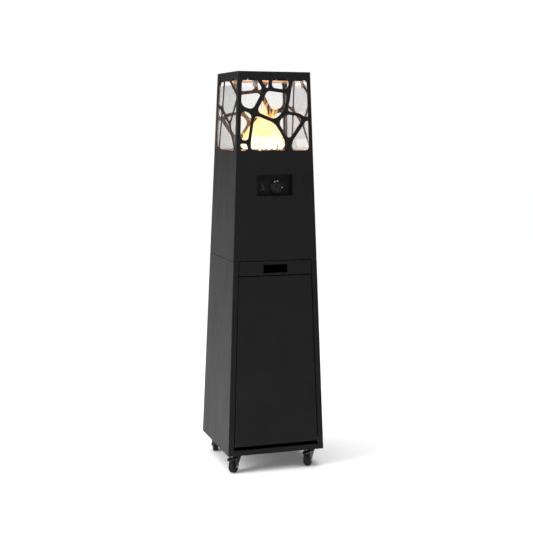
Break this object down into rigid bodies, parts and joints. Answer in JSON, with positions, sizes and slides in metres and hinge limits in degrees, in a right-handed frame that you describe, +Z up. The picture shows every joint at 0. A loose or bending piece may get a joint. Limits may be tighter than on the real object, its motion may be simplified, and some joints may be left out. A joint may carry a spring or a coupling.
{
  "type": "outdoor heater",
  "caption": "Tapered gas patio heater on swivel castors: bottle cabinet with tilt-out door, recessed controls, glazed flame chamber behind cut metal screens.",
  "frame": {"origin": "on the floor under the centre of the tower", "axes": "+Z up, front with the door and controls faces -Y, +X to the right seen from the front"},
  "size_m": [0.3701, 0.3719, 1.442],
  "materials": {
    "black_coat": "satin black powder coat with a fine grain",
    "bare_steel": "heat-marked stainless sheet",
    "zinc": "bright zinc plate",
    "brass": "machined brass, dull",
    "black_plastic": "moulded black plastic, fine texture",
    "castor_plastic": "moulded black nylon",
    "castor_coat": "black e-coat",
    "tyre": "black moulded tread",
    "lead": "silicone sleeve",
    "ceramic": "glazed ceramic",
    "glass": "clear heat-proof glass"
  },
  "bodies": {
    "root": {"lower_left_panel": "black_coat", "lower_right_panel": "black_coat", "lower_back_panel": "black_coat", "base_tray": "black_coat", "cabinet_top_plate": "black_coat", "door_header": "black_coat", "upper_left_panel": "black_coat", "upper_right_panel": "black_coat", "upper_front_panel": "black_coat", "upper_back_panel": "black_coat", "upper_base_plate": "black_coat", "top_lid": "black_coat", "control_box": "black_coat", "burner_deck": "bare_steel", "heat_deflector": "bare_steel", "burner": "bare_steel", "door_hinge_bracket_left": "zinc", "door_hinge_bracket_right": "zinc", "gas_valve": "brass", "gas_inlet_pipe": "brass", "gas_inlet_fitting": "brass", "gas_pipe": "brass", "thermocouple": "brass", "igniter_body": "black_plastic", "door_magnet_left": "black_plastic", "door_magnet_right": "black_plastic", "ignition_electrode": "ceramic", "ignition_lead": "lead", "pane_front": "glass", "pane_right": "glass", "pane_back": "glass", "pane_left": "glass", "front_left_castor_plate": "castor_coat", "front_right_castor_plate": "castor_coat", "rear_left_castor_plate": "castor_coat", "rear_right_castor_plate": "castor_coat"},
    "door": {"door": "black_coat", "door_hinge_pin_left": "zinc", "door_hinge_pin_right": "zinc"},
    "stem": {"valve_stem": "zinc"},
    "knob": {"control_knob": "black_plastic"},
    "button": {"igniter_button": "black_plastic"},
    "front_left_swivel": {"front_left_castor_fork": "castor_plastic", "front_left_castor_axle": "zinc"},
    "front_left_wheel": {"front_left_castor_wheel": "castor_plastic", "front_left_castor_tyre": "tyre"},
    "front_left_brake": {"front_left_castor_brake_pedal": "castor_plastic"},
    "front_right_swivel": {"front_right_castor_fork": "castor_plastic", "front_right_castor_axle": "zinc"},
    "front_right_wheel": {"front_right_castor_wheel": "castor_plastic", "front_right_castor_tyre": "tyre"},
    "front_right_brake": {"front_right_castor_brake_pedal": "castor_plastic"},
    "rear_left_swivel": {"rear_left_castor_fork": "castor_plastic", "rear_left_castor_axle": "zinc"},
    "rear_left_wheel": {"rear_left_castor_wheel": "castor_plastic", "rear_left_castor_tyre": "tyre"},
    "rear_right_swivel": {"rear_right_castor_fork": "castor_plastic", "rear_right_castor_axle": "zinc"},
    "rear_right_wheel": {"rear_right_castor_wheel": "castor_plastic", "rear_right_castor_tyre": "tyre"}
  },
  "joints": [
    {"name": "door_tilt", "type": "hinge", "parent": "root", "child": "door", "pos_m": [0, -0.17362, 0.107], "axis": [1, 0, 0], "range_deg": [0, 75]},
    {"name": "knob_push", "type": "slide", "parent": "root", "child": "stem", "axis": [0, 0.9994, -0.0353], "range_m": [0, 0.004], "stiffness_N_per_m": 600, "springref_m": -0.002},
    {"name": "knob_turn", "type": "hinge", "parent": "stem", "child": "knob", "pos_m": [0.012, -0.14883, 1.036], "axis": [0, -0.9994, 0.0353], "range_deg": [0, 180]},
    {"name": "igniter_press", "type": "slide", "parent": "root", "child": "button", "axis": [0, 0.9994, -0.0353], "range_m": [0, 0.005], "stiffness_N_per_m": 800, "springref_m": -0.002},
    {"name": "front_left_swivel_turn", "type": "hinge", "parent": "root", "child": "front_left_swivel", "pos_m": [-0.143, -0.143, 0.056], "axis": [0, 0, 1], "continuous": true},
    {"name": "front_left_wheel_spin", "type": "hinge", "parent": "front_left_swivel", "child": "front_left_wheel", "pos_m": [-0.15573, -0.15573, 0.025], "axis": [0.7071, -0.7071, 0], "continuous": true},
    {"name": "front_left_brake_press", "type": "hinge", "parent": "front_left_swivel", "child": "front_left_brake", "pos_m": [-0.15997, -0.15997, 0.0545], "axis": [0.7071, -0.7071, 0], "range_deg": [0, 15]},
    {"name": "front_right_swivel_turn", "type": "hinge", "parent": "root", "child": "front_right_swivel", "pos_m": [0.143, -0.143, 0.056], "axis": [0, 0, 1], "continuous": true},
    {"name": "front_right_wheel_spin", "type": "hinge", "parent": "front_right_swivel", "child": "front_right_wheel", "pos_m": [0.13096, -0.15638, 0.025], "axis": [0.7431, -0.6691, 0], "continuous": true},
    {"name": "front_right_brake_press", "type": "hinge", "parent": "front_right_swivel", "child": "front_right_brake", "pos_m": [0.12694, -0.16084, 0.0545], "axis": [0.7431, -0.6691, 0], "range_deg": [0, 15]},
    {"name": "rear_left_swivel_turn", "type": "hinge", "parent": "root", "child": "rear_left_swivel", "pos_m": [-0.143, 0.143, 0.056], "axis": [0, 0, 1], "continuous": true},
    {"name": "rear_left_wheel_spin", "type": "hinge", "parent": "rear_left_swivel", "child": "rear_left_wheel", "pos_m": [-0.14674, 0.12539, 0.025], "axis": [0.9781, -0.2079, 0], "continuous": true},
    {"name": "rear_right_swivel_turn", "type": "hinge", "parent": "root", "child": "rear_right_swivel", "pos_m": [0.143, 0.143, 0.056], "axis": [0, 0, 1], "continuous": true},
    {"name": "rear_right_wheel_spin", "type": "hinge", "parent": "rear_right_swivel", "child": "rear_right_wheel", "pos_m": [0.134, 0.12741, 0.025], "axis": [0.866, -0.5, 0], "continuous": true}
  ]
}
